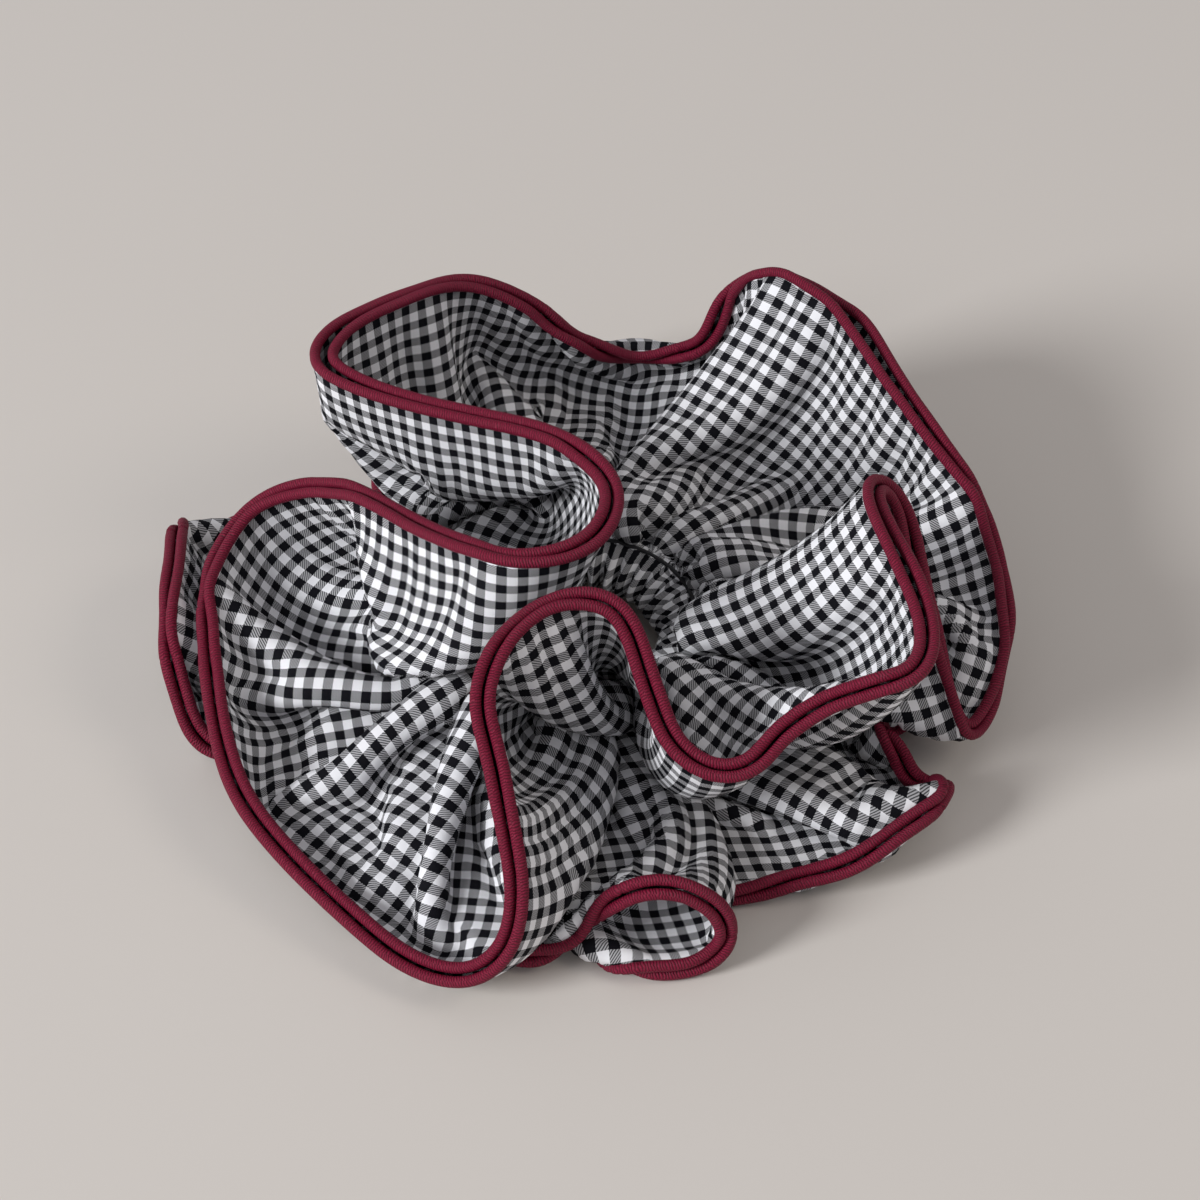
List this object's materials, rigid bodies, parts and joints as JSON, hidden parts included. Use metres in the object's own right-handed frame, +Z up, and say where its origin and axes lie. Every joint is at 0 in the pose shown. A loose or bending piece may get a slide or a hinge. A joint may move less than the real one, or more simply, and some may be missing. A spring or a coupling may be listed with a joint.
{
  "type": "hair scrunchie",
  "caption": "Large scrunchie: two layers of gingham cloth gathered on an elastic hoop, with a full overlocked ruffle above and below it.",
  "frame": {"origin": "middle of the footprint, on the surface the scrunchie lies on", "axes": "+Z up through the hole, +X to the right and +Y away as it is seen from the front"},
  "size_m": [0.1778, 0.1814, 0.0614],
  "materials": {
    "gingham": "matt plain-weave cotton in black and white checks",
    "overlock": "dense burgundy overlock thread, slight sheen",
    "seam_thread": "black sewing thread",
    "elastic": "ribbed woven elastic"
  },
  "bodies": {
    "cloth": {"channel_wall_outer": "gingham", "channel_wall_inner": "gingham", "seam_thread_upper": "seam_thread", "seam_thread_lower": "seam_thread", "upper_ruffle_inner": "gingham", "upper_ruffle_outer": "gingham", "upper_hem_inner": "overlock", "upper_hem_outer": "overlock", "lower_ruffle_inner": "gingham", "lower_ruffle_outer": "gingham", "lower_hem_inner": "overlock", "lower_hem_outer": "overlock"},
    "elastic": {"elastic_band": "elastic", "elastic_join": "elastic"}
  },
  "joints": [
    {"name": "elastic_turn", "type": "hinge", "parent": "cloth", "child": "elastic", "pos_m": [-0.00107, -0.00047, 0.009], "axis": [0, 0, 1], "continuous": true}
  ]
}
